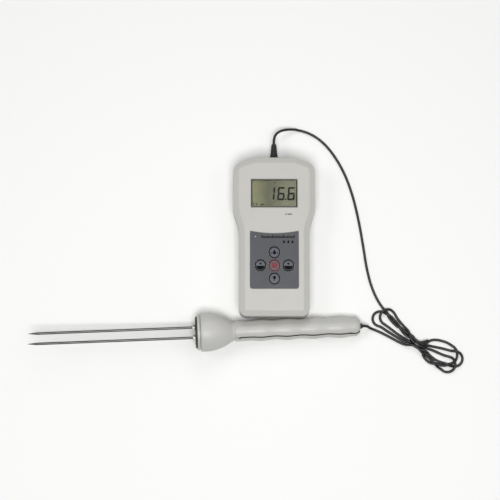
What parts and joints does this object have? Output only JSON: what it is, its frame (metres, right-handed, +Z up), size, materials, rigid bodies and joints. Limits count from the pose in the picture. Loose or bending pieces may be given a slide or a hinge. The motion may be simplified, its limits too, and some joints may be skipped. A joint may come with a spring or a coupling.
{
  "type": "moisture meter",
  "caption": "Hand-held meter with a display and keypad, wired by a thin cord to a handle that carries long needle electrodes for measuring moisture.",
  "frame": {"origin": "middle of the meter's flat back, on the surface it lies on", "axes": "+Z up, out of the display; +Y from the keys to the cord end; +X to the right of the display; the probe lies along X below the meter, needles towards -X"},
  "size_m": [0.3299, 0.192, 0.0303],
  "materials": {
    "case_plastic": "fine satin texture",
    "probe_plastic": "smooth satin",
    "lens_acrylic": "clear, polished",
    "display_glass": "grey-green display",
    "white_plastic": "satin",
    "contact_rubber": "matt",
    "black_plastic": "satin",
    "keypad_film": "printed film, matt",
    "key_grey": "printed film, satin",
    "key_red": "printed film, satin",
    "board_laminate": "solder mask",
    "cell_jacket": "printed jacket",
    "contact_steel": "nickel plated",
    "screw_steel": "zinc plated",
    "stainless_steel": "ground and drawn",
    "terminal_brass": "turned",
    "cord_rubber": "satin jacket"
  },
  "bodies": {
    "root": {"battery_1": "cell_jacket", "battery_2": "cell_jacket", "battery_3": "cell_jacket", "battery_4": "cell_jacket", "battery_contact_lower_left": "contact_steel", "battery_contact_lower_middle": "contact_steel", "battery_contact_lower_right": "contact_steel", "battery_contact_upper_left": "contact_steel", "battery_contact_upper_right": "contact_steel", "cable_socket": "white_plastic", "case_screw_1": "screw_steel", "case_screw_2": "screw_steel", "case_screw_3": "screw_steel", "case_screw_4": "screw_steel", "circuit_board": "board_laminate", "cord_gland": "cord_rubber", "cord_lead": "cord_rubber", "cord_tail": "cord_rubber", "cord_tie": "black_plastic", "display_backlight": "white_plastic", "display_holder": "black_plastic", "display_lens": "lens_acrylic", "display_panel": "display_glass", "display_strip_lower": "contact_rubber", "display_strip_upper": "contact_rubber", "front_shell": "case_plastic", "handle_grommet": "cord_rubber", "handle_screw_1": "screw_steel", "handle_screw_2": "screw_steel", "hank_left_lobe": "cord_rubber", "hank_right_lobe": "cord_rubber", "keypad_panel": "keypad_film", "mouth_ring": "probe_plastic", "needle_far": "stainless_steel", "needle_near": "stainless_steel", "needle_nut_far": "stainless_steel", "needle_nut_near": "stainless_steel", "needle_plate": "black_plastic", "probe_bell": "probe_plastic", "probe_board": "board_laminate", "probe_handle_lower": "probe_plastic", "probe_handle_upper": "probe_plastic", "processor": "black_plastic", "rear_shell": "case_plastic", "status_light": "lens_acrylic", "switch_function": "black_plastic", "switch_left": "black_plastic", "switch_light": "black_plastic", "switch_power": "black_plastic", "switch_right": "black_plastic", "terminal_nut_far": "terminal_brass", "terminal_nut_near": "terminal_brass"},
    "key_function": {"key_function": "key_grey"},
    "key_power": {"key_power": "key_red"},
    "key_light": {"key_light": "key_grey"},
    "key_left": {"key_left": "key_grey"},
    "key_right": {"key_right": "key_grey"},
    "battery_cover": {"battery_cover": "case_plastic"}
  },
  "joints": [
    {"name": "press_function", "type": "slide", "parent": "root", "child": "key_function", "axis": [0, 0, -1], "range_m": [0, 0.0005], "stiffness_N_per_m": 1500, "springref_m": -0.0003},
    {"name": "press_power", "type": "slide", "parent": "root", "child": "key_power", "axis": [0, 0, -1], "range_m": [0, 0.0005], "stiffness_N_per_m": 1500, "springref_m": -0.0003},
    {"name": "press_light", "type": "slide", "parent": "root", "child": "key_light", "axis": [0, 0, -1], "range_m": [0, 0.0005], "stiffness_N_per_m": 1500, "springref_m": -0.0003},
    {"name": "press_left", "type": "slide", "parent": "root", "child": "key_left", "axis": [0, 0, -1], "range_m": [0, 0.0005], "stiffness_N_per_m": 1500, "springref_m": -0.0003},
    {"name": "press_right", "type": "slide", "parent": "root", "child": "key_right", "axis": [0, 0, -1], "range_m": [0, 0.0005], "stiffness_N_per_m": 1500, "springref_m": -0.0003},
    {"name": "slide_battery_cover", "type": "slide", "parent": "root", "child": "battery_cover", "axis": [0, -1, 0], "range_m": [0, 0.006]}
  ]
}
